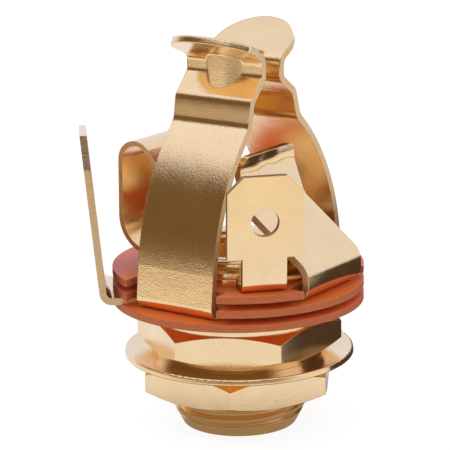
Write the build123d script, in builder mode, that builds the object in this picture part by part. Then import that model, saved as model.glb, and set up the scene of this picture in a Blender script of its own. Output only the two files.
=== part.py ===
from build123d import *
import math
import os

os.makedirs("parts", exist_ok=True)

# A panel-mount quarter-inch mono jack socket of the open-frame kind, standing mouth down on its
# threaded bushing. Z runs up the bushing's axis from the mouth. Bearings are in degrees about Z,
# from -Y (0) towards +X (90), and every spring and lug is drawn outwards along its bearing.

# Plug and bushing
PLUG_DIAMETER = 6.35
PLUG_CLEARANCE = 0.15
THREAD_DIAMETER = 9.525
THREAD_END_DIAMETER = 8.15
THREAD_END_CHAMFER = 1.3
BORE_MOUTH_CHAMFER = 0.25
FLANGE_ACROSS_FLATS = 12.7
FLANGE_THICKNESS = 2.15
FLANGE_CHAMFER_ANGLE = 25
FLANGE_BEARING = -2
LOWER_LAND_DIAMETER = 11.9
LOWER_LAND_HEIGHT = 0.55
UPPER_LAND_DIAMETER = 12.4
UPPER_LAND_HEIGHT = 1.17
TENON_WALL = 0.75
LIP_OVERHANG = 1.2
LIP_HEIGHT = 0.6
LIP_ROUND = 0.25
HEXAGON_SIDES = 6

# Nut and dress washer
NUT_HEIGHT_ON_THREAD = 2.6
NUT_THICKNESS = 2.15
NUT_WALL = 1.5875
NUT_CHAMFER_ANGLE = 25
NUT_BEARING = 30
NUT_COUNTERSINK = 0.3
THREAD_CLEARANCE = 0.06
WASHER_CLEARANCE = 0.08
SEAT_CLEARANCE = 0.02
WASHER_THICKNESS = 0.45
WASHER_RIM_WIDTH = 1.85
WASHER_RIM_RISE = 0.3
WASHER_RIM_BEND = 3
WASHER_EDGE_ROUND = 0.12

# Stack of insulators and contact plates
INSULATOR_DIAMETER = 17.8
INSULATOR_THICKNESS = 0.5
CONTACT_THICKNESS = 0.5
LEAF_THICKNESS = 0.34
PLATE_DIAMETER = 12.9
LEAF_PLATE_DIAMETER = 12.3
TENON_CLEARANCE = 0.05
SPACER_WALL = 1.0
SLOT_WIDTH = 7.6
SLOT_CLEARANCE = 0.1

# Bearings of the springs and lugs
FRONT_BEARING = 0
RIGHT_BEARING = 90
REAR_BEARING = 180
LEFT_BEARING = -90
GROUND_LUG_BEARING = 47.2
TIP_LUG_BEARING = -50

# Tip springs: each bend is its reach from the axis, its rise above its plate and its radius
TIP_SPRING_WIDTH = 6.3
FRONT_BENDS = [
    (7.8, 0, 0.8),
    (6.97, 7.86, 16),
    (3.08, 12.61, 0.9),
    (2.8, 14.28, 0.9),
    (1.38, 15.77, 0.4),
    (1.38, 16.83, 0.5),
]
REAR_BENDS = [
    (8.75, 0, 0.8),
    (8.18, 8.14, 15),
    (3.34, 12.5, 0.9),
    (2.8, 14.36, 1.0),
    (1.3, 15.44, 0.4),
    (1.3, 16.5, 0.6),
]
# Tongues: the lean from upright in degrees, the length, the rise of the round tip, the half width
FRONT_TONGUE = (64, 3.3, 1.92, 3.4)
REAR_TONGUE = (58, 3.85, 3.0, 3.17)
TONGUE_ROOT = 1.3
CUP_RADIUS = 1.75
CUP_DEPTH = 0.85
CUP_TOP_MARGIN = 0.12

# Ground springs, in the same form
GROUND_SPRING_WIDTH = 6.7
GROUND_SPRING_CORNER = 1.05
RIGHT_BENDS = [(8.15, 0, 1.25), (8.15, 2.28, 1.6), (3.45, 5.86, 1.2), (2.55, 8.45, 1.5)]
RIGHT_SPRING_END = (2.88, 9.45)
LEFT_BENDS = [(8.0, 0, 2.6), (7.85, 10.75, 1.5), (2.75, 4.55, 0.8)]
LEFT_SPRING_END = (3.3, 2.85)

# Lugs: heights are above the plate's underside
LUG_HOLE_DIAMETER = 1.95
LUG_BEND_RADIUS = 0.9
GROUND_LUG_NECK_WIDTH = 3.05
GROUND_LUG_WIDTH = 5.15
GROUND_LUG_CORNER = 1.1
GROUND_LUG_REACH = 8.35
GROUND_LUG_LEAN = 4
GROUND_LUG_SHOULDER = 2.5
GROUND_LUG_TOP = 8.2
GROUND_LUG_HOLE = 5.0
TIP_LUG_WIDTH = 5.8
TIP_LUG_TOP_WIDTH = 3.8
TIP_LUG_TAPER = 2.2
TIP_LUG_RIM_GAP = 0.45
TIP_LUG_LEAN = 5.3
TIP_LUG_TOP = 11.85
TIP_LUG_HOLE = 8.4

# Heights of the stack, from the mouth up
bore_radius = (PLUG_DIAMETER + PLUG_CLEARANCE) / 2
nut_top = NUT_HEIGHT_ON_THREAD + NUT_THICKNESS
washer_bottom = nut_top + SEAT_CLEARANCE
washer_top = washer_bottom + WASHER_THICKNESS
flange_bottom = washer_top + LOWER_LAND_HEIGHT
flange_top = flange_bottom + FLANGE_THICKNESS
lower_insulator_bottom = flange_top + UPPER_LAND_HEIGHT
tip_plate_bottom = lower_insulator_bottom + INSULATOR_THICKNESS
middle_insulator_bottom = tip_plate_bottom + CONTACT_THICKNESS
right_plate_bottom = middle_insulator_bottom + INSULATOR_THICKNESS
upper_insulator_bottom = right_plate_bottom + CONTACT_THICKNESS
lug_plate_bottom = upper_insulator_bottom + INSULATOR_THICKNESS
left_plate_bottom = lug_plate_bottom + CONTACT_THICKNESS
lip_bottom = left_plate_bottom + LEAF_THICKNESS
lip_top = lip_bottom + LIP_HEIGHT

tenon_radius = bore_radius + TENON_WALL
tenon_hole_radius = tenon_radius + TENON_CLEARANCE
spacer_outer_radius = tenon_hole_radius + SPACER_WALL
tip_hole_radius = spacer_outer_radius + TENON_CLEARANCE
tip_lug_reach = INSULATOR_DIAMETER / 2 + TIP_LUG_RIM_GAP + CONTACT_THICKNESS


def outward(bearing):
    """Unit vector along a bearing."""
    turn = math.radians(bearing)
    return Vector(math.sin(turn), -math.cos(turn), 0)


def side_plane(bearing):
    """Plane through the axis along a bearing: X runs outwards and Y runs up."""
    out = outward(bearing)
    return Plane(origin=(0, 0, 0), x_dir=out, z_dir=out.cross(Vector(0, 0, 1)))


def face_plane(bearing):
    """Plane through the axis across a bearing: X runs to the right seen from outside, Y up."""
    out = outward(bearing)
    return Plane(origin=(0, 0, 0), x_dir=Vector(0, 0, 1).cross(out), z_dir=out)


def hexagon_blank(across_flats, bearing, bottom, height, chamfer_angle):
    """A hexagonal blank whose corners are turned off by a cone at both ends."""
    flat_radius = across_flats / 2
    corner_radius = flat_radius / math.cos(math.pi / HEXAGON_SIDES)
    fall = (corner_radius - flat_radius) * math.tan(math.radians(chamfer_angle))
    with BuildPart() as blank:
        with BuildSketch(Plane.XY.offset(bottom)):
            RegularPolygon(radius=corner_radius, side_count=HEXAGON_SIDES, rotation=bearing - 90)
        extrude(amount=height)
        with BuildSketch(Plane.XZ):
            with BuildLine():
                Polyline(
                    (0, bottom),
                    (flat_radius, bottom),
                    (corner_radius, bottom + fall),
                    (corner_radius, bottom + height - fall),
                    (flat_radius, bottom + height),
                    (0, bottom + height),
                    close=True,
                )
            make_face()
        revolve(axis=Axis.Z, mode=Mode.INTERSECT)
    return blank.part


def insulator(bottom, slots):
    """A fibre disc, slotted in from the rim where springs of lower plates rise through it."""
    radius = INSULATOR_DIAMETER / 2
    with BuildPart() as disc:
        with BuildSketch(Plane.XY.offset(bottom)):
            Circle(radius=radius)
            Circle(radius=tenon_hole_radius, mode=Mode.SUBTRACT)
        extrude(amount=INSULATOR_THICKNESS)
        for bearing, floor in slots:
            with BuildSketch(face_plane(bearing).offset(floor)):
                with Locations((0, bottom + INSULATOR_THICKNESS / 2)):
                    Rectangle(SLOT_WIDTH, 2 * INSULATOR_THICKNESS)
            extrude(amount=radius, mode=Mode.SUBTRACT)
    return disc.part


def ring_plate(bottom, thickness, hole_radius, outer_radius):
    """The flat ring that clamps a contact into the stack."""
    with BuildPart() as ring:
        with BuildSketch(Plane.XY.offset(bottom)):
            Circle(radius=outer_radius)
            Circle(radius=hole_radius, mode=Mode.SUBTRACT)
        extrude(amount=thickness)
    return ring.part


def bent_strip(bearing, bottom, start, bends, end, thickness, width):
    """Sheet metal from a plate outwards along the bends, whose points are on its outer face."""
    path = [(start, bottom)]
    path += [(reach, bottom + rise) for reach, rise, radius in bends]
    path += [(end[0], bottom + end[1])]
    with BuildPart() as strip:
        with BuildSketch(side_plane(bearing)):
            with BuildLine():
                FilletPolyline(*path, radius=[radius for reach, rise, radius in bends])
                offset(amount=thickness, side=Side.LEFT)
            make_face()
        extrude(amount=width / 2, both=True)
    return strip.part


def rounded_end(strip, bearing, bottom, top, width, corner):
    """The strip with the corners of its upright end rounded, seen along its bearing."""
    with BuildPart() as trimmed:
        add(strip)
        with BuildSketch(face_plane(bearing)):
            with Locations((0, (bottom + top) / 2)):
                RectangleRounded(width, top - bottom, corner)
            with Locations((0, bottom)):
                Rectangle(width, top - bottom)
        extrude(amount=INSULATOR_DIAMETER, mode=Mode.INTERSECT)
    return trimmed.part


def lug(bearing, bottom, start, reach, lean, right_side, hole):
    """A solder lug bent up off its plate, cut to an outline given by its right side, with a hole."""
    half_width = max(x for x, y in right_side)
    top = right_side[-1][1]
    slope = math.tan(math.radians(lean))
    strip = bent_strip(bearing, bottom, start, [(reach, 0, LUG_BEND_RADIUS)],
                       (reach + slope * top, top), CONTACT_THICKNESS, 2 * half_width)
    right = [(x, bottom + y) for x, y in right_side]
    left = [(-x, y) for x, y in reversed(right)]
    with BuildPart() as trimmed:
        add(strip)
        with BuildSketch(face_plane(bearing)):
            with BuildLine():
                Polyline(*right, *left, close=True)
            make_face()
            with Locations((0, bottom + hole)):
                Circle(radius=LUG_HOLE_DIAMETER / 2, mode=Mode.SUBTRACT)
        extrude(amount=2 * reach, mode=Mode.INTERSECT)
    return trimmed.part


def tip_spring(bearing, bottom, start, bends, tongue_shape):
    """A tall spring: a bowed strip, a neck pressed out into a cup, and a flared tongue on top."""
    lean, length, tip_rise, half_width = tongue_shape
    rise = math.radians(lean)
    neck_reach, neck_rise, neck_radius = bends[-1]
    sill_reach, sill_rise, sill_radius = bends[-3]
    foot_reach, foot_rise, foot_radius = bends[-2]
    neck_top = bottom + neck_rise
    strip_end = (neck_reach + TONGUE_ROOT * math.sin(rise), neck_rise + TONGUE_ROOT * math.cos(rise))
    strip = bent_strip(bearing, bottom, start, bends, strip_end, CONTACT_THICKNESS, TIP_SPRING_WIDTH)

    up = Vector(0, 0, 1)
    out = outward(bearing)
    across = up.cross(out)
    along = up * math.cos(rise) + out * math.sin(rise)
    tongue_plane = Plane(origin=out * neck_reach + up * neck_top, x_dir=across, z_dir=across.cross(along))
    with BuildPart() as tongue:
        with BuildSketch(tongue_plane):
            with Locations((0, length - tip_rise)):
                Ellipse(half_width, tip_rise)
            with BuildLine():
                Polyline(
                    (-TIP_SPRING_WIDTH / 2, TONGUE_ROOT / 2),
                    (TIP_SPRING_WIDTH / 2, TONGUE_ROOT / 2),
                    (half_width, length - tip_rise),
                    (-half_width, length - tip_rise),
                    close=True,
                )
            make_face()
            with Locations((0, TONGUE_ROOT / 2 + length)):
                Rectangle(3 * half_width, 2 * length, mode=Mode.INTERSECT)
        extrude(amount=-CONTACT_THICKNESS)

    cup_centre = out * (neck_reach + CUP_DEPTH - CUP_RADIUS)
    cup_top = neck_top + CUP_DEPTH / math.tan(rise) + CUP_TOP_MARGIN
    middle = CONTACT_THICKNESS / 2
    cup_plane = Plane(origin=cup_centre + up * (bottom + sill_rise), x_dir=across, z_dir=up)
    with BuildPart() as cup:
        with BuildSketch(cup_plane):
            Circle(radius=CUP_RADIUS)
            Circle(radius=CUP_RADIUS - CONTACT_THICKNESS, mode=Mode.SUBTRACT)
        extrude(amount=cup_top - bottom - sill_rise)
        with BuildSketch(side_plane(bearing)):
            with BuildLine():
                Polyline(
                    (sill_reach - middle, bottom + sill_rise),
                    (foot_reach - middle, bottom + foot_rise),
                    (neck_reach - middle, cup_top),
                    (neck_reach + 2 * CUP_DEPTH, cup_top),
                    (neck_reach + 2 * CUP_DEPTH, bottom + sill_rise),
                    close=True,
                )
            make_face()
        extrude(amount=CUP_RADIUS, both=True, mode=Mode.INTERSECT)

    with BuildPart() as spring:
        add(strip)
        add(tongue.part)
        with BuildSketch(cup_plane):
            Circle(radius=CUP_RADIUS - CONTACT_THICKNESS)
        extrude(amount=neck_top - bottom - sill_rise, mode=Mode.SUBTRACT)
        add(cup.part)
    return spring.part


# Bushing: turned from hexagon bar, with a thread, a flange, two lands and a tenon swaged outwards
thread_radius = THREAD_DIAMETER / 2
lower_land_radius = LOWER_LAND_DIAMETER / 2
upper_land_radius = UPPER_LAND_DIAMETER / 2
lip_radius = tenon_radius + LIP_OVERHANG
lip_inner_radius = bore_radius + LIP_OVERHANG - LIP_ROUND
flange_middle = (flange_bottom + flange_top) / 2

with BuildPart() as flange:
    add(hexagon_blank(FLANGE_ACROSS_FLATS, FLANGE_BEARING, flange_bottom, FLANGE_THICKNESS,
                      FLANGE_CHAMFER_ANGLE))
    Cylinder(radius=bore_radius, height=2 * lip_top, mode=Mode.SUBTRACT)

with BuildPart() as bushing:
    with BuildSketch(Plane.XZ):
        with BuildLine():
            outside = Polyline(
                (bore_radius + BORE_MOUTH_CHAMFER, 0),
                (THREAD_END_DIAMETER / 2, 0),
                (thread_radius, THREAD_END_CHAMFER),
                (thread_radius, washer_top),
                (lower_land_radius, washer_top),
                (lower_land_radius, flange_middle),
                (upper_land_radius, flange_middle),
                (upper_land_radius, lower_insulator_bottom),
                (tenon_radius, lower_insulator_bottom),
                (tenon_radius, lip_bottom),
                (lip_radius, lip_bottom),
                (lip_radius, lip_top - LIP_ROUND),
            )
            edge = ThreePointArc(
                outside @ 1,
                (lip_radius - LIP_ROUND + LIP_ROUND / math.sqrt(2),
                 lip_top - LIP_ROUND + LIP_ROUND / math.sqrt(2)),
                (lip_radius - LIP_ROUND, lip_top),
            )
            land = Line(edge @ 1, (lip_inner_radius, lip_top))
            flare = ThreePointArc(
                land @ 1,
                ((bore_radius + lip_inner_radius - LIP_ROUND) / 2, lip_top - LIP_ROUND),
                (bore_radius, lip_bottom - LIP_ROUND),
            )
            Polyline(flare @ 1, (bore_radius, BORE_MOUTH_CHAMFER), outside @ 0)
        make_face()
    revolve(axis=Axis.Z)
    add(flange.part)
bushing.part.label = "bushing"
export_step(bushing.part, "parts/bushing.step")

# Nut: hexagonal, chamfered at both ends, with a countersunk thread hole
nut_hole_radius = thread_radius + THREAD_CLEARANCE
nut_across_flats = THREAD_DIAMETER + 2 * NUT_WALL
with BuildPart() as hex_nut:
    add(hexagon_blank(nut_across_flats, NUT_BEARING, NUT_HEIGHT_ON_THREAD, NUT_THICKNESS,
                      NUT_CHAMFER_ANGLE))
    Cylinder(radius=nut_hole_radius, height=2 * lip_top, mode=Mode.SUBTRACT)
    chamfer(hex_nut.edges().filter_by(GeomType.CIRCLE).group_by(SortBy.RADIUS)[0], NUT_COUNTERSINK)
hex_nut.part.label = "hex_nut"
export_step(hex_nut.part, "parts/hex_nut.step")

# Dress washer: a flat ring as wide as the nut, with its rim turned up towards the flange
washer_flat_radius = nut_across_flats / 2
with BuildPart() as dress_washer:
    with BuildSketch(Plane.XZ):
        with BuildLine():
            FilletPolyline(
                (thread_radius + WASHER_CLEARANCE, washer_bottom),
                (washer_flat_radius, washer_bottom),
                (washer_flat_radius + WASHER_RIM_WIDTH, washer_bottom + WASHER_RIM_RISE),
                radius=WASHER_RIM_BEND,
            )
            offset(amount=WASHER_THICKNESS, side=Side.LEFT)
        make_face()
        fillet(vertices().sort_by(Axis.X)[-2:], WASHER_EDGE_ROUND)
    revolve(axis=Axis.Z)
dress_washer.part.label = "dress_washer"
export_step(dress_washer.part, "parts/dress_washer.step")

# Insulators: the springs of lower plates rise through slots whose floors clear their bends
front_slot = (FRONT_BEARING, FRONT_BENDS[0][0] - FRONT_BENDS[0][2] - SLOT_CLEARANCE)
rear_slot = (REAR_BEARING, REAR_BENDS[0][0] - REAR_BENDS[0][2] - SLOT_CLEARANCE)
right_slot = (RIGHT_BEARING, RIGHT_BENDS[0][0] - RIGHT_BENDS[0][2] - SLOT_CLEARANCE)

with BuildPart() as lower_insulator:
    add(insulator(lower_insulator_bottom, []))
lower_insulator.part.label = "lower_insulator"
export_step(lower_insulator.part, "parts/lower_insulator.step")

with BuildPart() as middle_insulator:
    add(insulator(middle_insulator_bottom, [front_slot, rear_slot]))
middle_insulator.part.label = "middle_insulator"
export_step(middle_insulator.part, "parts/middle_insulator.step")

with BuildPart() as upper_insulator:
    add(insulator(upper_insulator_bottom, [front_slot, rear_slot, right_slot]))
upper_insulator.part.label = "upper_insulator"
export_step(upper_insulator.part, "parts/upper_insulator.step")

with BuildPart() as tip_spacer_ring:
    add(ring_plate(tip_plate_bottom, CONTACT_THICKNESS, tenon_hole_radius, spacer_outer_radius))
tip_spacer_ring.part.label = "tip_spacer_ring"
export_step(tip_spacer_ring.part, "parts/tip_spacer_ring.step")

# Contacts: each is one stamping, a clamped ring with its springs or its lug bent up from the rim
tip_strip_start = tip_hole_radius + TENON_CLEARANCE
ground_strip_start = tenon_hole_radius + TENON_CLEARANCE
plate_radius = PLATE_DIAMETER / 2
tip_lug_outline = [
    (TIP_LUG_WIDTH / 2, 0),
    (TIP_LUG_WIDTH / 2, TIP_LUG_TOP - TIP_LUG_TAPER),
    (TIP_LUG_TOP_WIDTH / 2, TIP_LUG_TOP),
]
ground_lug_outline = [
    (GROUND_LUG_NECK_WIDTH / 2, 0),
    (GROUND_LUG_NECK_WIDTH / 2, GROUND_LUG_SHOULDER),
    (GROUND_LUG_WIDTH / 2, GROUND_LUG_SHOULDER),
    (GROUND_LUG_WIDTH / 2, GROUND_LUG_TOP - GROUND_LUG_CORNER),
    (GROUND_LUG_WIDTH / 2 - GROUND_LUG_CORNER, GROUND_LUG_TOP),
]

with BuildPart() as tip_contact:
    add(ring_plate(tip_plate_bottom, CONTACT_THICKNESS, tip_hole_radius, plate_radius))
    add(tip_spring(FRONT_BEARING, tip_plate_bottom, tip_strip_start, FRONT_BENDS, FRONT_TONGUE))
    add(tip_spring(REAR_BEARING, tip_plate_bottom, tip_strip_start, REAR_BENDS, REAR_TONGUE))
    add(lug(TIP_LUG_BEARING, tip_plate_bottom, tip_strip_start, tip_lug_reach, TIP_LUG_LEAN,
            tip_lug_outline, TIP_LUG_HOLE))
tip_contact.part.label = "tip_contact"
export_step(tip_contact.part, "parts/tip_contact.step")

right_strip = bent_strip(RIGHT_BEARING, right_plate_bottom, ground_strip_start, RIGHT_BENDS,
                         RIGHT_SPRING_END, CONTACT_THICKNESS, GROUND_SPRING_WIDTH)
with BuildPart() as right_ground_contact:
    add(ring_plate(right_plate_bottom, CONTACT_THICKNESS, tenon_hole_radius, plate_radius))
    add(rounded_end(right_strip, RIGHT_BEARING, right_plate_bottom,
                    right_plate_bottom + RIGHT_SPRING_END[1], GROUND_SPRING_WIDTH, GROUND_SPRING_CORNER))
right_ground_contact.part.label = "right_ground_contact"
export_step(right_ground_contact.part, "parts/right_ground_contact.step")

with BuildPart() as ground_lug:
    add(ring_plate(lug_plate_bottom, CONTACT_THICKNESS, tenon_hole_radius, plate_radius))
    add(lug(GROUND_LUG_BEARING, lug_plate_bottom, ground_strip_start, GROUND_LUG_REACH, GROUND_LUG_LEAN,
            ground_lug_outline, GROUND_LUG_HOLE))
ground_lug.part.label = "ground_lug"
export_step(ground_lug.part, "parts/ground_lug.step")

with BuildPart() as left_ground_contact:
    add(ring_plate(left_plate_bottom, LEAF_THICKNESS, tenon_hole_radius, LEAF_PLATE_DIAMETER / 2))
    add(bent_strip(LEFT_BEARING, left_plate_bottom, ground_strip_start, LEFT_BENDS, LEFT_SPRING_END,
                   LEAF_THICKNESS, GROUND_SPRING_WIDTH))
left_ground_contact.part.label = "left_ground_contact"
export_step(left_ground_contact.part, "parts/left_ground_contact.step")
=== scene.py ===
"""Looks of a gold-plated mono jack socket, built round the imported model. Lengths are in metres."""

import math

import bmesh
import bpy
from mathutils import Matrix, Vector


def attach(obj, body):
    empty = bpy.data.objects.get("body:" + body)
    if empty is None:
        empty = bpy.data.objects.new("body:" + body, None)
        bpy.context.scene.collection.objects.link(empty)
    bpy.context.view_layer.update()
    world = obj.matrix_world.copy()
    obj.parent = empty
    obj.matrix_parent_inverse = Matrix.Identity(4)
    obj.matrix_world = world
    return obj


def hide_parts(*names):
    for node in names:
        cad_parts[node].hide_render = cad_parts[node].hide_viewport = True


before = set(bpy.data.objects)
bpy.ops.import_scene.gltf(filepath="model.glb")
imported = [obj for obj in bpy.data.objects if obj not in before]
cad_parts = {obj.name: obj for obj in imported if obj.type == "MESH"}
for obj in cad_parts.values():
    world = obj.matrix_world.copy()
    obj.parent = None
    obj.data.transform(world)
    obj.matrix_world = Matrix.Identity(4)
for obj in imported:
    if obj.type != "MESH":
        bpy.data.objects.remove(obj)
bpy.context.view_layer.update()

bl_info = {
    "name": "Mono Jack Socket",
    "version": (1, 0, 0),
    "blender": (4, 5, 0),
    "location": "View3D > Sidebar > Jack Socket",
    "description": "Finishes a mono jack socket and sets the studio that it stands in",
    "category": "Object",
}

# Bearings of the springs' and lugs' faces, in degrees from -Y towards +X
FRONT_BEARING = 0
GROUND_LUG_BEARING = 47.2
TIP_LUG_BEARING = -50
RIGHT_BEARING = 90

# Heights on the stampings, above the plane of the bushing's mouth
CLAMPED_TOP = 0.0135
PRESSED_START = 0.0170
PRESSED_FULL = 0.0182
SILL_START = 0.0219
SILL_FULL = 0.0237
BURR_TOP = 0.0225
TONGUE_START = 0.0246
TONGUE_FULL = 0.0252

# Bushing's mesh: how far apart two vertices are merged, and the angle up to which it is shaded smooth
MERGE_DISTANCE = 0.000001
SMOOTH_ANGLE = math.radians(17)

# Section of the thread's groove: half widths as shares of the pitch, overreach as a share of the depth
ROOT_HALF_WIDTH = 0.06
MOUTH_HALF_WIDTH = 0.44
CUTTER_OVERREACH = 0.25
GROOVE_STEPS = 96

# Gold plate: how its grain and blotch, which lie round 0.5, make bright spots and rougher patches, and
# the share of its colour that is left between the spots
DEEP_GOLD = 0.84
SPOTS_PER_GRAIN = 1.6
SPOTS_PER_BLOTCH = 1.2
SPOTS_AT_ZERO = -0.75
ROUGHNESS_SPREAD = 0.10

# Relief of the plate, in steps of the bump's distance
BLOTCH_HEIGHT = 2.8
GRAIN_HEIGHT = 1.3
PRESSED_HEIGHT = 34.0
CROWN_HEIGHT = 20.0
TORN_HEIGHT = 3.0
PLATE_BUMP = {"Strength": 0.35, "Distance": 0.00002}

# Softened edges: the radius of the tongues' rounded rims, and the samples that look for an edge
TONGUE_EDGE_RADIUS = 0.00023
BEVEL_SAMPLES = 8

# Cosines between a face and a direction at which the mask of that face starts and is full
SQUARE_ON = (0.9, 1.0)
SLOPING = (0.775, 0.9)
LUG_FACE = (0.3, 0.55)

# Sheared edges: their dark share, roughness and speckle, and the two colours of the torn lug's edge
SHEARED_DARK = 0.64
SHEARED_ROUGHNESS = 0.38
SPECKLE_ROUGHNESS = 0.15
SHEARED_GRAIN = 7500.0
SPECKLE_GAIN = 2.4
SPECKLE_AT_ZERO = -0.7
BURR_DARK = (0.13, 0.07, 0.035)
BURR_LIGHT = (0.55, 0.35, 0.18)

# Vulcanised fibre: dark and light shares of its colours, how flat its layers are, and its finish
FACE_SHARES = (0.82, 1.16)
RIM_SHARES = (0.62, 1.42)
LAYER_SQUEEZE = (1, 1, 7)
FACE_ROUGHNESS = 0.42
RIM_ROUGHNESS = 0.6
FACE_HEIGHT = 0.5
RIM_HEIGHT = 1.6
FIBRE_BUMP = {"Strength": 0.7, "Distance": 0.00004}
FIBRE_SPECULAR = 0.35
FIBRE_SPECULAR_TINT = (1.0, 0.82, 0.62)

# Pale corners of the fibre, partly torn fibre and partly a painted highlight where the edges catch the light:
# their radius, and how sharply they and the patches on them stand out
FIBRE_EDGE_RADIUS = 0.00009
CORNER_GAIN = -9.0
CORNER_AT_ZERO = 8.8
PATCH_GAIN = 3.0
PATCH_AT_ZERO = -1.0

# What the plate mirrors of the floor, by the distance from the socket's axis as a share of FLOOR_REACH: a
# painted reflection, whose dark first stop is painted shade under the socket, whose bright stops are a
# painted pool of light, and whose dark outer stops are that pool's painted fall-off
FLOOR_REACH = 0.2
MIRRORED_FLOOR = (
    (0.045, (0.34, 0.27, 0.21)),
    (0.085, (0.90, 0.96, 1.18)),
    (0.19, (0.92, 0.98, 1.22)),
    (0.30, (0.90, 0.89, 0.85)),
    (0.42, (1.06, 1.04, 1.06)),
    (0.57, (1.02, 1.00, 1.03)),
    (0.68, (0.64, 0.57, 0.52)),
    (0.80, (0.42, 0.35, 0.28)),
    (0.97, (0.32, 0.26, 0.20)),
)

# What the plate mirrors of the room in front, by height: 0 is straight down, 0.5 level, 1 straight up
DARK_BAND = (0.165, 0.112, 0.058)
MIRRORED_ROOM = (
    (0.45, (0.92, 0.90, 0.95)),
    (0.47, (0.32, 0.26, 0.20)),
    (0.50, (0.24, 0.19, 0.14)),
    (0.545, DARK_BAND),
    (0.775, DARK_BAND),
    (0.83, (0.97, 1.05, 1.37)),
    (1.0, (0.90, 0.97, 1.27)),
)
ROOM_BEHIND = (0.86, 0.94, 1.25)

# Y of a reflection's direction at which the room behind starts to give place, and is gone
BEHIND_END = 0.15
FRONT_START = -0.30

# Floor: share of what the camera sees that is its own glow, and the glow's strength there and in the plate
GLOW_SHARE = 0.78
GLOW_SEEN = 1.12
GLOW_MIRRORED = 1.00

# Rest of the stage
MATT_ROUGHNESS = 0.9
FLOOR_SIDES = 96
FLAG_SIDES = 180
LAMPS_AIM = (0, 0, 0.012)
SENSOR_WIDTH_MM = 36.0
NEAREST_SEEN = 0.005

# Numbers of a Mix node's two inputs and its output for each kind of data, because their names repeat
MIX_SOCKETS = {"FLOAT": (2, 3, 0), "RGBA": (6, 7, 2)}


class JackFinishSettings(bpy.types.PropertyGroup):
    """Colours and finish of the plate and the fibre"""
    gold_color: bpy.props.FloatVectorProperty(
        name="Gold", description="Colour that the gold plate reflects",
        default=(0.985, 0.69, 0.345), min=0, max=1, size=3, subtype="COLOR")
    gold_roughness: bpy.props.FloatProperty(
        name="Gold roughness", description="How soft reflections in the plate are",
        default=0.13, min=0, max=1, subtype="FACTOR")
    sheared_color: bpy.props.FloatVectorProperty(
        name="Sheared edge", description="Colour of the stampings' sheared edges",
        default=(0.97, 0.66, 0.33), min=0, max=1, size=3, subtype="COLOR")
    edge_radius: bpy.props.FloatProperty(
        name="Edge radius", description="Radius that worn plate shows along each edge",
        default=0.00006, min=0, unit="LENGTH", precision=5)
    fibre_color: bpy.props.FloatVectorProperty(
        name="Fibre", description="Colour of the vulcanised fibre's faces",
        default=(0.76, 0.165, 0.038), min=0, max=1, size=3, subtype="COLOR")
    fibre_rim_color: bpy.props.FloatVectorProperty(
        name="Fibre rim", description="Colour of the fibre's cut rims",
        default=(0.44, 0.112, 0.040), min=0, max=1, size=3, subtype="COLOR")
    # The pale corners are partly torn fibre and partly a painted highlight where the edges catch the light
    highlit_and_worn_fibre_color: bpy.props.FloatVectorProperty(
        name="Worn fibre", description="Colour of the fibre's worn corners",
        default=(0.64, 0.28, 0.17), min=0, max=1, size=3, subtype="COLOR")


class JackThreadSettings(bpy.types.PropertyGroup):
    """Sizes of the bushing's thread"""
    pitch: bpy.props.FloatProperty(
        name="Pitch", description="Rise of the bushing's thread in one turn",
        default=0.00079375, min=0.0001, unit="LENGTH", precision=6)
    depth: bpy.props.FloatProperty(
        name="Depth", description="Depth of the thread's groove",
        default=0.00040, min=0.0001, unit="LENGTH", precision=5)
    major_radius: bpy.props.FloatProperty(
        name="Crest radius", description="Radius over the thread's crests",
        default=0.0047625, min=0.001, unit="LENGTH", precision=6)
    top: bpy.props.FloatProperty(
        name="Top", description="Height at which the thread runs out under the flange",
        default=0.0050, min=0, unit="LENGTH", precision=5)


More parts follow.
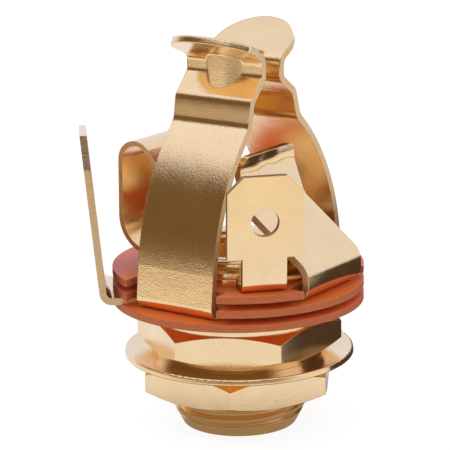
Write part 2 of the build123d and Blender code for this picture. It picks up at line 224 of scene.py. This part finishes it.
class JackStageSettings(bpy.types.PropertyGroup):
    """Camera, floor, dark card and lights"""
    camera_place: bpy.props.FloatVectorProperty(
        name="Camera", description="Place of the camera in the object's frame",
        default=(0.0816450, -0.1166010, 0.0506030), size=3, subtype="TRANSLATION", unit="LENGTH")
    camera_bearing: bpy.props.FloatProperty(
        name="View bearing", description="Bearing from which the camera looks, from -Y towards +X",
        default=math.radians(35), subtype="ANGLE")
    camera_pan: bpy.props.FloatProperty(
        name="Pan", description="Turn of the view about the vertical, to the right",
        default=-0.006232, subtype="ANGLE")
    camera_tilt: bpy.props.FloatProperty(
        name="Tilt", description="How far the view looks down",
        default=0.249653, subtype="ANGLE")
    camera_roll: bpy.props.FloatProperty(
        name="Roll", description="Turn of the picture about the view",
        default=-0.013951, subtype="ANGLE")
    picture_pixels: bpy.props.IntProperty(
        name="Picture width", description="Width of the picture", default=450, subtype="PIXEL")
    focal_pixels: bpy.props.FloatProperty(
        name="Focal length", description="Focal length of the lens in the picture's pixels",
        default=2082.44, subtype="PIXEL")
    floor_radius: bpy.props.FloatProperty(
        name="Floor radius", description="Radius of the round floor",
        default=0.22, min=0.02, unit="LENGTH")
    floor_color: bpy.props.FloatVectorProperty(
        name="Floor", description="Colour of the floor",
        default=(0.86, 0.85, 0.84), min=0, max=1, size=3, subtype="COLOR")
    flag_radius: bpy.props.FloatProperty(
        name="Flag radius", description="How far the dark card stands from the socket's axis",
        default=0.0165, min=0.01, unit="LENGTH")
    flag_height: bpy.props.FloatProperty(
        name="Flag height", description="Height of the dark card",
        default=0.0125, min=0.001, unit="LENGTH")
    flag_start: bpy.props.FloatProperty(
        name="Flag start", description="Bearing at which the dark card starts",
        default=math.radians(112), subtype="ANGLE")
    flag_end: bpy.props.FloatProperty(
        name="Flag end", description="Bearing at which the dark card ends",
        default=math.radians(178), subtype="ANGLE")
    flag_color: bpy.props.FloatVectorProperty(
        name="Flag", description="Colour of the dark card",
        default=(0.085, 0.060, 0.050), min=0, max=1, size=3, subtype="COLOR")
    world_color: bpy.props.FloatVectorProperty(
        name="World colour", description="Colour of the even light from all round",
        default=(1, 0.985, 0.96), min=0, max=1, size=3, subtype="COLOR")
    world_strength: bpy.props.FloatProperty(
        name="World", description="Strength of the even light from all round", default=0.95, min=0)
    key_place: bpy.props.FloatVectorProperty(
        name="Key place", description="Place of the large lamp at the upper left",
        default=(-0.16, -0.13, 0.24), size=3, subtype="TRANSLATION", unit="LENGTH")
    key_size: bpy.props.FloatProperty(
        name="Key size", description="Width of the large lamp",
        default=0.16, min=0.001, unit="LENGTH")
    key_power: bpy.props.FloatProperty(
        name="Key light", description="Power of the large lamp",
        default=0.12, min=0, unit="POWER")
    fill_place: bpy.props.FloatVectorProperty(
        name="Fill place", description="Place of the lamp at the right",
        default=(0.22, -0.05, 0.16), size=3, subtype="TRANSLATION", unit="LENGTH")
    fill_size: bpy.props.FloatProperty(
        name="Fill size", description="Width of the lamp at the right",
        default=0.10, min=0.001, unit="LENGTH")
    fill_power: bpy.props.FloatProperty(
        name="Fill light", description="Power of the lamp at the right",
        default=0.04, min=0, unit="POWER")


# Helpers for places and selection


def bearing_direction(degrees):
    """Level unit vector along a bearing, from -Y towards +X."""
    turn = math.radians(degrees)
    return Vector((math.sin(turn), -math.cos(turn), 0))


def sideways(degrees):
    """Level unit vector square to a bearing."""
    return Vector((0, 0, 1)).cross(bearing_direction(degrees))


def deselect_all():
    """Leaves nothing selected, in object mode."""
    if bpy.context.object and bpy.context.object.mode != "OBJECT":
        bpy.ops.object.mode_set(mode="OBJECT")
    bpy.ops.object.select_all(action="DESELECT")


def pick(obj):
    """Makes obj the only selected and the active object."""
    deselect_all()
    obj.hide_set(False)
    obj.select_set(True)
    bpy.context.view_layer.objects.active = obj


# Helpers for shader nodes


def node(tree, kind, inputs=None, **values):
    """A node of a kind, with its settings and its inputs' values or links."""
    made = tree.nodes.new(kind)
    for key, value in values.items():
        setattr(made, key, value)
    for key, value in (inputs or {}).items():
        if isinstance(value, bpy.types.NodeSocket):
            tree.links.new(value, made.inputs[key])
        else:
            made.inputs[key].default_value = value
    return made


def maths(tree, operation, *values, clamp=False):
    """Output of a Math node over values or sockets."""
    inputs = dict(enumerate(values))
    return node(tree, "ShaderNodeMath", inputs, operation=operation, use_clamp=clamp).outputs[0]


def vector_maths(tree, operation, first, second):
    """A Vector Math node over two vectors or sockets."""
    return node(tree, "ShaderNodeVectorMath", {0: first, 1: second}, operation=operation)


def ramp(tree, factor, stops):
    """Colour output of a ramp whose stops are (place, colour)."""
    made = node(tree, "ShaderNodeValToRGB", {"Fac": factor})
    elements = made.color_ramp.elements
    while len(elements) < len(stops):
        elements.new(0.5)
    for element, (place, color) in zip(elements, stops):
        element.position = place
        element.color = opaque(color)
    return made.outputs["Color"]


def opaque(color):
    """A colour with full alpha, or the socket that it comes from."""
    return color if isinstance(color, bpy.types.NodeSocket) else (*color, 1)


def shade(color, share):
    """A share of a colour, no brighter than full."""
    return tuple(min(1.0, part * share) for part in color)


def mix(tree, factor, first, second):
    """Colour output of a Mix node."""
    low, high, result = MIX_SOCKETS["RGBA"]
    inputs = {0: factor, low: opaque(first), high: opaque(second)}
    return node(tree, "ShaderNodeMix", inputs, data_type="RGBA").outputs[result]


def mix_value(tree, factor, first, second):
    """Value output of a Mix node."""
    low, high, result = MIX_SOCKETS["FLOAT"]
    inputs = {0: factor, low: first, high: second}
    return node(tree, "ShaderNodeMix", inputs, data_type="FLOAT").outputs[result]


def height_of(tree, place):
    """How high a point of the piece lies."""
    return node(tree, "ShaderNodeSeparateXYZ", {0: place.outputs["Object"]}).outputs["Z"]


def by_height(tree, place, bottom, top, low, high, smooth=False):
    """Value that goes from low to high between two heights."""
    return node(tree, "ShaderNodeMapRange",
                {"Value": height_of(tree, place), "From Min": bottom, "From Max": top,
                 "To Min": low, "To Max": high},
                interpolation_type="SMOOTHSTEP" if smooth else "LINEAR").outputs["Result"]


def facing_mask(tree, place, direction, start, full):
    """Mask of the faces turned to a direction, either way round, between two cosines of the angle."""
    facing = vector_maths(tree, "DOT_PRODUCT", place.outputs["Normal"], tuple(direction)).outputs["Value"]
    gain = 1 / (full - start)
    return maths(tree, "MULTIPLY_ADD", maths(tree, "ABSOLUTE", facing), gain, -start * gain, clamp=True)


def new_material(name):
    """A material with nodes, its tree and its Principled shader."""
    material = bpy.data.materials.new(name)
    material.use_nodes = True
    return material, material.node_tree, material.node_tree.nodes["Principled BSDF"]


def new_group(name, inputs, outputs):
    """An empty shader node group with named inputs, their defaults, and named value outputs."""
    tree = bpy.data.node_groups.new(name, "ShaderNodeTree")
    for label, kind, default in inputs:
        socket = tree.interface.new_socket(label, in_out="INPUT", socket_type=kind)
        socket.default_value = default
    for label in outputs:
        tree.interface.new_socket(label, in_out="OUTPUT", socket_type="NodeSocketFloat")
    return tree, tree.nodes.new("NodeGroupInput"), tree.nodes.new("NodeGroupOutput")


# Effects that several materials share


def drawn_lines():
    """Drawn plate: the height of fine lines along one direction, a slow blotch and a fine grain."""
    name = "drawn_lines"
    if name in bpy.data.node_groups:
        return bpy.data.node_groups[name]
    tree, given, result = new_group(
        name,
        [("Vector", "NodeSocketVector", (0, 0, 0)), ("Stretch", "NodeSocketVector", (1, 1, 1)),
         ("Fineness", "NodeSocketFloat", 1.0)],
        ["Height", "Blotch", "Grain"])
    vector = given.outputs["Vector"]
    squeezed = vector_maths(tree, "MULTIPLY", vector, given.outputs["Stretch"]).outputs[0]
    lines = node(tree, "ShaderNodeTexNoise",
                 {"Vector": squeezed, "Scale": given.outputs["Fineness"], "Detail": 3.0, "Roughness": 0.6})
    blotch = node(tree, "ShaderNodeTexNoise",
                  {"Vector": vector, "Scale": 420.0, "Detail": 4.0, "Roughness": 0.55})
    grain = node(tree, "ShaderNodeTexNoise",
                 {"Vector": vector, "Scale": 11000.0, "Detail": 2.0, "Roughness": 0.5})
    for label, noise in (("Height", lines), ("Blotch", blotch), ("Grain", grain)):
        tree.links.new(noise.outputs["Fac"], result.inputs[label])
    return tree


def sheared_edge():
    """Torn metal of a sheared edge: a speckled mask and its height."""
    name = "sheared_edge"
    if name in bpy.data.node_groups:
        return bpy.data.node_groups[name]
    tree, given, result = new_group(
        name,
        [("Vector", "NodeSocketVector", (0, 0, 0)), ("Grain", "NodeSocketFloat", SHEARED_GRAIN)],
        ["Speckle", "Height"])
    spread = {"Vector": given.outputs["Vector"], "Scale": given.outputs["Grain"]}
    coarse = node(tree, "ShaderNodeTexNoise", {**spread, "Detail": 5.0, "Roughness": 0.7})
    pits = node(tree, "ShaderNodeTexVoronoi", spread)
    speckle = maths(tree, "MULTIPLY_ADD", coarse.outputs["Fac"], SPECKLE_GAIN, SPECKLE_AT_ZERO, clamp=True)
    height = maths(tree, "ADD", coarse.outputs["Fac"], pits.outputs["Distance"])
    tree.links.new(speckle, result.inputs["Speckle"])
    tree.links.new(height, result.inputs["Height"])
    return tree


# Gold plate


def plate_surface(tree, drawn, unevenness):
    """Colour, roughness and waviness of plain plate."""
    settings = bpy.context.scene.jack_finish
    gold = tuple(settings.gold_color)
    blotch = drawn.outputs["Blotch"]
    grain = drawn.outputs["Grain"]
    spots = maths(tree, "ADD", maths(tree, "MULTIPLY", grain, SPOTS_PER_GRAIN),
                  maths(tree, "MULTIPLY_ADD", blotch, SPOTS_PER_BLOTCH, SPOTS_AT_ZERO), clamp=True)
    color = mix(tree, spots, shade(gold, DEEP_GOLD), gold)
    roughness = maths(tree, "MULTIPLY_ADD", blotch, ROUGHNESS_SPREAD,
                      settings.gold_roughness - ROUGHNESS_SPREAD / 2)
    waves = maths(tree, "MULTIPLY_ADD", blotch, BLOTCH_HEIGHT * unevenness,
                  maths(tree, "MULTIPLY", grain, GRAIN_HEIGHT * unevenness))
    return color, roughness, waves


def pressed_waves(tree, place, waves):
    """The plate's waves with the dents of the right spring's pressed end."""
    dents = node(tree, "ShaderNodeTexNoise",
                 {"Vector": place.outputs["Object"], "Scale": 560.0, "Detail": 0.0})
    depth = by_height(tree, place, PRESSED_START, PRESSED_FULL, 0.0, PRESSED_HEIGHT)
    return maths(tree, "MULTIPLY_ADD", dents.outputs["Fac"], depth, waves)


def crowned_waves(tree, place, waves):
    """The plate's waves with the rise that crowns each tip spring's sill."""
    crown = by_height(tree, place, SILL_START, SILL_FULL, 0.0, CROWN_HEIGHT, smooth=True)
    return maths(tree, "ADD", waves, crown)


def sheared_mask(tree, place, across, face):
    """Mask of the faces square to a direction in across and, on an upright lug, of those edge on to face."""
    mask = facing_mask(tree, place, across[0], *SQUARE_ON)
    for direction in across[1:]:
        mask = maths(tree, "MAXIMUM", mask, facing_mask(tree, place, direction, *SQUARE_ON))
    if face is not None:
        edge_on = maths(tree, "SUBTRACT", 1.0, facing_mask(tree, place, face, *LUG_FACE))
        upright = maths(tree, "GREATER_THAN", height_of(tree, place), CLAMPED_TOP)
        mask = maths(tree, "MAXIMUM", mask, maths(tree, "MULTIPLY", edge_on, upright))
    return mask


def burr_mask(tree, place, direction):
    """Mask of a lug's edge that slopes away from a direction square to it, below the lug's top."""
    not_square = maths(tree, "SUBTRACT", 1.0, facing_mask(tree, place, direction, *SQUARE_ON))
    sloping = maths(tree, "MULTIPLY", facing_mask(tree, place, direction, *SLOPING), not_square)
    return maths(tree, "MULTIPLY", sloping, maths(tree, "LESS_THAN", height_of(tree, place), BURR_TOP))


def sheared_surface(tree, place, plate, across, face=None, burr=None, brightness=1.0):
    """Colour, roughness and height of the plate with a stamping's sheared edges laid over it. across and
    face say where they are. burr is square to the lug whose sloping edge is torn dark, and brightness
    is the share of the sheared colour that the other edges keep."""
    color, roughness, height = plate
    torn = node(tree, "ShaderNodeGroup", {"Vector": place.outputs["Object"], "Grain": SHEARED_GRAIN},
                node_tree=sheared_edge())
    speckle = torn.outputs["Speckle"]
    sheared_color = tuple(bpy.context.scene.jack_finish.sheared_color)
    mask = sheared_mask(tree, place, across, face)
    metal = mix(tree, speckle, shade(sheared_color, SHEARED_DARK * brightness),
                shade(sheared_color, brightness))
    if burr is not None:
        burred = burr_mask(tree, place, burr)
        metal = mix(tree, burred, metal, mix(tree, speckle, BURR_DARK, BURR_LIGHT))
        mask = maths(tree, "MAXIMUM", mask, burred)
    torn_roughness = maths(tree, "MULTIPLY_ADD", speckle, SPECKLE_ROUGHNESS, SHEARED_ROUGHNESS)
    torn_height = maths(tree, "MULTIPLY", torn.outputs["Height"], TORN_HEIGHT)
    return (mix(tree, mask, color, metal), mix_value(tree, mask, roughness, torn_roughness),
            mix_value(tree, mask, height, torn_height))


def gold_material(name, fineness, line_depth, stretch=(1, 1, 1), unevenness=1.0, pressed=False,
                  crowned=False, sheared=None):
    """Polished gold plate with fine drawn lines. pressed and crowned add a spring's stamped relief, and
    sheared holds what sheared_surface asks for, on a stamping."""
    settings = bpy.context.scene.jack_finish
    material, tree, shader = new_material(name)
    place = tree.nodes.new("ShaderNodeTexCoord")
    drawn = node(tree, "ShaderNodeGroup",
                 {"Vector": place.outputs["Object"], "Stretch": stretch, "Fineness": fineness},
                 node_tree=drawn_lines())
    color, roughness, waves = plate_surface(tree, drawn, unevenness)
    radius = settings.edge_radius
    if pressed:
        waves = pressed_waves(tree, place, waves)
    if crowned:
        waves = crowned_waves(tree, place, waves)
        radius = by_height(tree, place, TONGUE_START, TONGUE_FULL, radius, TONGUE_EDGE_RADIUS)
    height = maths(tree, "MULTIPLY_ADD", drawn.outputs["Height"], line_depth, waves)
    if sheared:
        color, roughness, height = sheared_surface(tree, place, (color, roughness, height), **sheared)
    soft_edge = node(tree, "ShaderNodeBevel", {"Radius": radius}, samples=BEVEL_SAMPLES)
    relief = node(tree, "ShaderNodeBump",
                  {**PLATE_BUMP, "Height": height, "Normal": soft_edge.outputs["Normal"]})
    shader.inputs["Metallic"].default_value = 1.0
    tree.links.new(color, shader.inputs["Base Color"])
    tree.links.new(roughness, shader.inputs["Roughness"])
    tree.links.new(relief.outputs["Normal"], shader.inputs["Normal"])
    return material


# Vulcanised fibre


def highlit_and_worn_mask(tree, soft_normal, layers):
    """Mask of the corners, where the softened normal leaves the true one, broken up by the layers: torn fibre
    with a painted highlight along the edges.
    """
    true_normal = tree.nodes.new("ShaderNodeNewGeometry").outputs["True Normal"]
    turn = vector_maths(tree, "DOT_PRODUCT", soft_normal, true_normal).outputs["Value"]
    corner = maths(tree, "MULTIPLY_ADD", turn, CORNER_GAIN, CORNER_AT_ZERO, clamp=True)
    patches = maths(tree, "MULTIPLY_ADD", layers, PATCH_GAIN, PATCH_AT_ZERO, clamp=True)
    return maths(tree, "MULTIPLY", corner, patches, clamp=True)


def fibre_material(name):
    """Vulcanised fibre: smooth mottled faces, darker cut rims that show its layers, and pale corners that are
    partly torn fibre and partly a painted highlight.
    """
    settings = bpy.context.scene.jack_finish
    material, tree, shader = new_material(name)
    place = tree.nodes.new("ShaderNodeTexCoord")
    upright = vector_maths(tree, "DOT_PRODUCT", place.outputs["Normal"], (0, 0, 1)).outputs["Value"]
    rim = maths(tree, "SUBTRACT", 1.0, maths(tree, "ABSOLUTE", upright), clamp=True)
    squeezed = vector_maths(tree, "MULTIPLY", place.outputs["Object"], LAYER_SQUEEZE).outputs[0]
    layers = node(tree, "ShaderNodeTexNoise",
                  {"Vector": squeezed, "Scale": 1500.0, "Detail": 6.0, "Roughness": 0.65}).outputs["Fac"]
    mottle = node(tree, "ShaderNodeTexNoise",
                  {"Vector": place.outputs["Object"], "Scale": 380.0, "Detail": 5.0,
                   "Roughness": 0.6}).outputs["Fac"]
    face = mix(tree, mottle, *(shade(settings.fibre_color, share) for share in FACE_SHARES))
    cut = mix(tree, layers, *(shade(settings.fibre_rim_color, share) for share in RIM_SHARES))
    soft_edge = node(tree, "ShaderNodeBevel", {"Radius": FIBRE_EDGE_RADIUS}, samples=BEVEL_SAMPLES)
    highlit_and_worn = highlit_and_worn_mask(tree, soft_edge.outputs["Normal"], layers)
    # Pale corners: partly torn fibre, partly a painted highlight along the edges, laid over the faces and
    # rims
    color = mix(tree, highlit_and_worn, mix(tree, rim, face, cut), tuple(settings.highlit_and_worn_fibre_color))
    height = mix_value(tree, rim, maths(tree, "MULTIPLY", mottle, FACE_HEIGHT),
                       maths(tree, "MULTIPLY", layers, RIM_HEIGHT))
    relief = node(tree, "ShaderNodeBump",
                  {**FIBRE_BUMP, "Height": height, "Normal": soft_edge.outputs["Normal"]})
    shader.inputs["Specular IOR Level"].default_value = FIBRE_SPECULAR
    shader.inputs["Specular Tint"].default_value = opaque(FIBRE_SPECULAR_TINT)
    tree.links.new(color, shader.inputs["Base Color"])
    tree.links.new(mix_value(tree, rim, FACE_ROUGHNESS, RIM_ROUGHNESS), shader.inputs["Roughness"])
    tree.links.new(relief.outputs["Normal"], shader.inputs["Normal"])
    return material


def dress(names, material):
    """Gives CAD nodes a material in each of their slots."""
    for name in names:
        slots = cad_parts[name].material_slots
        if not slots:
            raise RuntimeError(f"{name} has no slot for {material.name}")
        for slot in slots:
            slot.material = material


# Operators, one for each group of pieces and one for the stage


class JACK_OT_bushing(bpy.types.Operator):
    """Cuts the real thread into a copy of the turned bushing, which then stands for it"""
    bl_idname = "jack.bushing"
    bl_label = "Threaded bushing"

    def execute(self, context):
        piece = self.merged_copy(context)
        uncut = len(piece.data.vertices)
        cutter = self.groove_cutter(context.scene.jack_thread)
        pick(piece)
        cut = piece.modifiers.new("thread", "BOOLEAN")
        cut.operation = "DIFFERENCE"
        cut.solver = "EXACT"
        cut.use_self = False
        cut.object = cutter
        bpy.ops.object.modifier_apply(modifier="thread")
        bpy.data.objects.remove(cutter)
        if len(piece.data.vertices) <= uncut:
            raise RuntimeError("the cutter left no groove in the bushing")
        bpy.ops.object.shade_smooth_by_angle(angle=SMOOTH_ANGLE)
        piece.data.materials.clear()
        piece.data.materials.append(
            gold_material("bushing_plate", fineness=9000.0, line_depth=0.25, stretch=(1, 1, 0.03)))
        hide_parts("bushing")
        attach(piece, "socket")
        return {"FINISHED"}

    def merged_copy(self, context):
        """A copy of the turned bushing with its loose triangles joined up."""
        piece = bpy.data.objects.new("bushing_turned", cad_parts["bushing"].data.copy())
        context.scene.collection.objects.link(piece)
        pick(piece)
        # The normals that the copy brings along would be wrong once its triangles are joined
        bpy.ops.mesh.customdata_custom_splitnormals_clear()
        bpy.ops.object.mode_set(mode="EDIT")
        bpy.ops.mesh.select_all(action="SELECT")
        bpy.ops.mesh.remove_doubles(threshold=MERGE_DISTANCE)
        bpy.ops.mesh.normals_make_consistent(inside=False)
        bpy.ops.object.mode_set(mode="OBJECT")
        return piece

    def groove_cutter(self, thread):
        """The groove's section, narrow at its root, spun up the thread as a screw and closed at its ends."""
        deselect_all()
        bpy.ops.mesh.primitive_plane_add(size=thread.pitch, location=(0, 0, 0))
        cutter = bpy.context.object
        cutter.name = "thread_cutter"
        ring = list(cutter.data.polygons[0].vertices)
        bpy.ops.object.mode_set(mode="EDIT")
        bpy.ops.mesh.select_all(action="SELECT")
        bpy.ops.mesh.delete(type="ONLY_FACE")
        bpy.ops.object.mode_set(mode="OBJECT")

        turns = math.ceil(thread.top / thread.pitch) + 1
        start = thread.top - turns * thread.pitch
        root = thread.major_radius - thread.depth
        reach = thread.major_radius + thread.depth * CUTTER_OVERREACH
        narrow = thread.pitch * ROOT_HALF_WIDTH
        wide = thread.pitch * MOUTH_HALF_WIDTH
        section = [(root, -narrow), (root, narrow), (reach, wide), (reach, -wide)]
        for index, (out, rise) in zip(ring, section):
            cutter.data.vertices[index].co = Vector((out, 0, start + rise))

        screw = cutter.modifiers.new("groove", "SCREW")
        screw.axis = "Z"
        screw.angle = 2 * math.pi
        screw.screw_offset = thread.pitch
        screw.iterations = turns
        screw.steps = GROOVE_STEPS
        screw.render_steps = GROOVE_STEPS
        screw.use_normal_calculate = True
        pick(cutter)
        bpy.ops.object.modifier_apply(modifier="groove")
        bpy.ops.object.mode_set(mode="EDIT")
        bpy.ops.mesh.select_all(action="DESELECT")
        bpy.ops.mesh.select_non_manifold()
        bpy.ops.mesh.edge_face_add()
        bpy.ops.mesh.select_all(action="SELECT")
        bpy.ops.mesh.normals_make_consistent(inside=False)
        bpy.ops.object.mode_set(mode="OBJECT")
        return cutter


class JACK_OT_nut_and_washer(bpy.types.Operator):
    """Gives the hexagon nut and the dress washer their plate"""
    bl_idname = "jack.nut_and_washer"
    bl_label = "Nut and washer"

    def execute(self, context):
        dress(["hex_nut"],
              gold_material("nut_plate", fineness=9000.0, line_depth=0.25, stretch=(1, 1, 0.03)))
        dress(["dress_washer"],
              gold_material("washer_plate", fineness=700.0, line_depth=0.12, unevenness=0.4))
        return {"FINISHED"}


class JACK_OT_contacts(bpy.types.Operator):
    """Gives the stamped springs and lugs their plate, with rougher sheared edges"""
    bl_idname = "jack.contacts"
    bl_label = "Springs and lugs"

    def execute(self, context):
        tip_edges = {"across": (sideways(FRONT_BEARING), sideways(TIP_LUG_BEARING)),
                     "burr": sideways(TIP_LUG_BEARING)}
        ground_edges = {"across": (sideways(RIGHT_BEARING),)}
        lug_edges = {"across": (sideways(GROUND_LUG_BEARING),), "face": bearing_direction(GROUND_LUG_BEARING),
                     "brightness": 0.5}
        dress(["tip_contact"],
              gold_material("tip_spring_plate", fineness=6500.0, line_depth=0.25, stretch=(0.5, 1, 1),
                            crowned=True, sheared=tip_edges))
        dress(["right_ground_contact"],
              gold_material("right_spring_plate", fineness=6500.0, line_depth=0.3, stretch=(1, 0.5, 1),
                            pressed=True, sheared=ground_edges))
        dress(["left_ground_contact"],
              gold_material("left_spring_plate", fineness=6500.0, line_depth=0.4, stretch=(1, 0.4, 1),
                            sheared=ground_edges))
        dress(["ground_lug"],
              gold_material("ground_lug_plate", fineness=5200.0, line_depth=0.5, sheared=lug_edges))
        return {"FINISHED"}


class JACK_OT_insulators(bpy.types.Operator):
    """Gives the insulating discs and the spacer ring their vulcanised fibre"""
    bl_idname = "jack.insulators"
    bl_label = "Insulators"

    def execute(self, context):
        dress(["lower_insulator", "middle_insulator", "upper_insulator", "tip_spacer_ring"],
              fibre_material("vulcanised_fibre"))
        return {"FINISHED"}


class JACK_OT_stage(bpy.types.Operator):
    """Sets the white floor, the studio light and the camera"""
    bl_idname = "jack.stage"
    bl_label = "Stage"

    def execute(self, context):
        settings = context.scene.jack_stage
        context.scene.view_settings.view_transform = "Standard"
        self.floor(settings)
        self.flag(settings)
        self.world(context, settings)
        self.lamp(context, "key_lamp", settings.key_place, settings.key_size, settings.key_power)
        self.lamp(context, "fill_lamp", settings.fill_place, settings.fill_size, settings.fill_power)
        self.camera(context, settings)
        return {"FINISHED"}

    def floor(self, settings):
        """A round white floor, which the plate sees as a pattern of bright and dark rings."""
        deselect_all()
        bpy.ops.mesh.primitive_circle_add(vertices=FLOOR_SIDES, radius=settings.floor_radius,
                                          fill_type="NGON", location=(0, 0, 0))
        floor = bpy.context.object
        floor.name = "studio_floor"
        material, tree, shader = new_material("studio_floor_white")
        shader.inputs["Base Color"].default_value = opaque(settings.floor_color)
        shader.inputs["Roughness"].default_value = MATT_ROUGHNESS
        path = tree.nodes.new("ShaderNodeLightPath")
        place = tree.nodes.new("ShaderNodeTexCoord")
        away = node(tree, "ShaderNodeVectorMath", {0: place.outputs["Object"]},
                    operation="LENGTH").outputs["Value"]
        # Painted reflection: painted shade under the socket, a painted pool of light round it, and the
        # light's painted fall-off further out
        rings = ramp(tree, maths(tree, "MULTIPLY", away, 1 / FLOOR_REACH), MIRRORED_FLOOR)
        mirrored = maths(tree, "MAXIMUM", path.outputs["Is Glossy Ray"], path.outputs["Is Transmission Ray"])
        strength = maths(tree, "MULTIPLY_ADD", mirrored, GLOW_MIRRORED - GLOW_SEEN, GLOW_SEEN)
        glow = node(tree, "ShaderNodeEmission",
                    {"Color": mix(tree, mirrored, (1, 1, 1), rings), "Strength": strength})
        seen = maths(tree, "MULTIPLY", path.outputs["Is Camera Ray"], GLOW_SHARE)
        both = node(tree, "ShaderNodeMixShader",
                    {0: maths(tree, "MAXIMUM", seen, mirrored), 1: shader.outputs["BSDF"],
                     2: glow.outputs["Emission"]})
        tree.links.new(both.outputs["Shader"], tree.nodes["Material Output"].inputs["Surface"])
        floor.data.materials.append(material)

    def flag(self, settings):
        """A low dark card round the right and back, seen only as a reflection in the plate."""
        deselect_all()
        bpy.ops.mesh.primitive_circle_add(vertices=FLAG_SIDES, radius=settings.flag_radius,
                                          location=(0, 0, 0))
        flag = bpy.context.object
        flag.name = "studio_flag"
        bpy.ops.object.mode_set(mode="EDIT")
        bpy.ops.mesh.select_all(action="DESELECT")
        work = bmesh.from_edit_mesh(flag.data)
        for vertex in work.verts:
            bearing = math.atan2(vertex.co.x, -vertex.co.y)
            vertex.select = not settings.flag_start < bearing < settings.flag_end
        bmesh.update_edit_mesh(flag.data)
        bpy.ops.mesh.delete(type="VERT")
        bpy.ops.mesh.select_all(action="SELECT")
        bpy.ops.mesh.extrude_edges_move(TRANSFORM_OT_translate={"value": (0, 0, settings.flag_height)})
        bpy.ops.object.mode_set(mode="OBJECT")
        material, _, shader = new_material("studio_flag_dark")
        shader.inputs["Base Color"].default_value = opaque(settings.flag_color)
        shader.inputs["Roughness"].default_value = MATT_ROUGHNESS
        flag.data.materials.append(material)
        flag.visible_camera = False
        flag.visible_diffuse = False
        flag.visible_shadow = False

    def world(self, context, settings):
        """Plain white to the camera, an even light on all, and a banded room in the plate."""
        world = bpy.data.worlds.new("studio")
        context.scene.world = world
        world.use_nodes = True
        tree = world.node_tree
        tree.nodes.clear()
        place = tree.nodes.new("ShaderNodeTexCoord")
        way = node(tree, "ShaderNodeSeparateXYZ", {0: place.outputs["Generated"]})
        # A direction's height, from -1 to 1, is laid onto the ramp's 0 to 1
        rise = maths(tree, "MULTIPLY_ADD", way.outputs["Z"], 0.5, 0.5)
        front = node(tree, "ShaderNodeMapRange",
                     {"Value": way.outputs["Y"], "From Min": BEHIND_END, "From Max": FRONT_START},
                     interpolation_type="SMOOTHSTEP").outputs["Result"]
        room = mix(tree, front, ROOM_BEHIND, ramp(tree, rise, MIRRORED_ROOM))
        path = tree.nodes.new("ShaderNodeLightPath")
        seen = maths(tree, "MAXIMUM", path.outputs["Is Camera Ray"], path.outputs["Is Transmission Ray"])
        even = node(tree, "ShaderNodeBackground",
                    {"Color": opaque(settings.world_color), "Strength": settings.world_strength})
        banded = node(tree, "ShaderNodeBackground", {"Color": room, "Strength": 1.0})
        white = node(tree, "ShaderNodeBackground", {"Color": (1, 1, 1, 1), "Strength": 1.0})
        lit = node(tree, "ShaderNodeMixShader",
                   {0: path.outputs["Is Glossy Ray"], 1: even.outputs["Background"],
                    2: banded.outputs["Background"]})
        whole = node(tree, "ShaderNodeMixShader",
                     {0: seen, 1: lit.outputs["Shader"], 2: white.outputs["Background"]})
        node(tree, "ShaderNodeOutputWorld", {"Surface": whole.outputs["Shader"]})

    def lamp(self, context, name, place, size, power):
        """A round lamp that looks at the socket and isn't seen in the plate."""
        light = bpy.data.lights.new(name, "AREA")
        light.shape = "DISK"
        light.size = size
        light.energy = power
        lamp = bpy.data.objects.new(name, light)
        context.scene.collection.objects.link(lamp)
        lamp.visible_glossy = False
        aim = Vector(LAMPS_AIM) - Vector(place)
        lamp.matrix_world = Matrix.Translation(place) @ aim.to_track_quat("-Z", "Y").to_matrix().to_4x4()

    def camera(self, context, settings):
        """The camera at its place, turned by its bearing, pan, tilt and roll."""
        lens = bpy.data.cameras.new("camera")
        lens.sensor_width = SENSOR_WIDTH_MM
        lens.lens = settings.focal_pixels / settings.picture_pixels * lens.sensor_width
        lens.clip_start = NEAREST_SEEN
        camera = bpy.data.objects.new("camera", lens)
        context.scene.collection.objects.link(camera)
        pan = settings.camera_pan
        tilt = settings.camera_tilt
        roll = settings.camera_roll
        ahead = Vector((math.sin(pan) * math.cos(tilt), math.cos(pan) * math.cos(tilt), -math.sin(tilt)))
        ahead.rotate(Matrix.Rotation(settings.camera_bearing, 3, "Z"))
        right = ahead.cross(Vector((0, 0, 1))).normalized()
        up = right.cross(ahead)
        level = right * math.cos(roll) + up * math.sin(roll)
        upright = up * math.cos(roll) - right * math.sin(roll)
        axes = Matrix((level, upright, -ahead)).transposed()
        camera.matrix_world = Matrix.Translation(settings.camera_place) @ axes.to_4x4()
        context.scene.camera = camera


class JACK_PT_panel(bpy.types.Panel):
    """Lists the socket's settings and the operators that finish it"""
    bl_idname = "JACK_PT_panel"
    bl_label = "Mono jack socket"
    bl_space_type = "VIEW_3D"
    bl_region_type = "UI"
    bl_category = "Jack Socket"

    def draw(self, context):
        layout = self.layout
        for operator in OPERATORS:
            layout.operator(operator.bl_idname)
        for group in (context.scene.jack_finish, context.scene.jack_thread, context.scene.jack_stage):
            column = layout.column(align=True)
            for name in group.__annotations__:
                column.prop(group, name)


OPERATORS = (JACK_OT_bushing, JACK_OT_nut_and_washer, JACK_OT_contacts, JACK_OT_insulators, JACK_OT_stage)
CLASSES = (JackFinishSettings, JackThreadSettings, JackStageSettings, *OPERATORS, JACK_PT_panel)


def register():
    for cls in CLASSES:
        bpy.utils.register_class(cls)
    bpy.types.Scene.jack_finish = bpy.props.PointerProperty(type=JackFinishSettings)
    bpy.types.Scene.jack_thread = bpy.props.PointerProperty(type=JackThreadSettings)
    bpy.types.Scene.jack_stage = bpy.props.PointerProperty(type=JackStageSettings)


def unregister():
    del bpy.types.Scene.jack_stage
    del bpy.types.Scene.jack_thread
    del bpy.types.Scene.jack_finish
    for cls in reversed(CLASSES):
        bpy.utils.unregister_class(cls)


def main():
    """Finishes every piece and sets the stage."""
    register()
    bpy.ops.jack.bushing()
    bpy.ops.jack.nut_and_washer()
    bpy.ops.jack.contacts()
    bpy.ops.jack.insulators()
    bpy.ops.jack.stage()


if __name__ == "__main__":
    main()
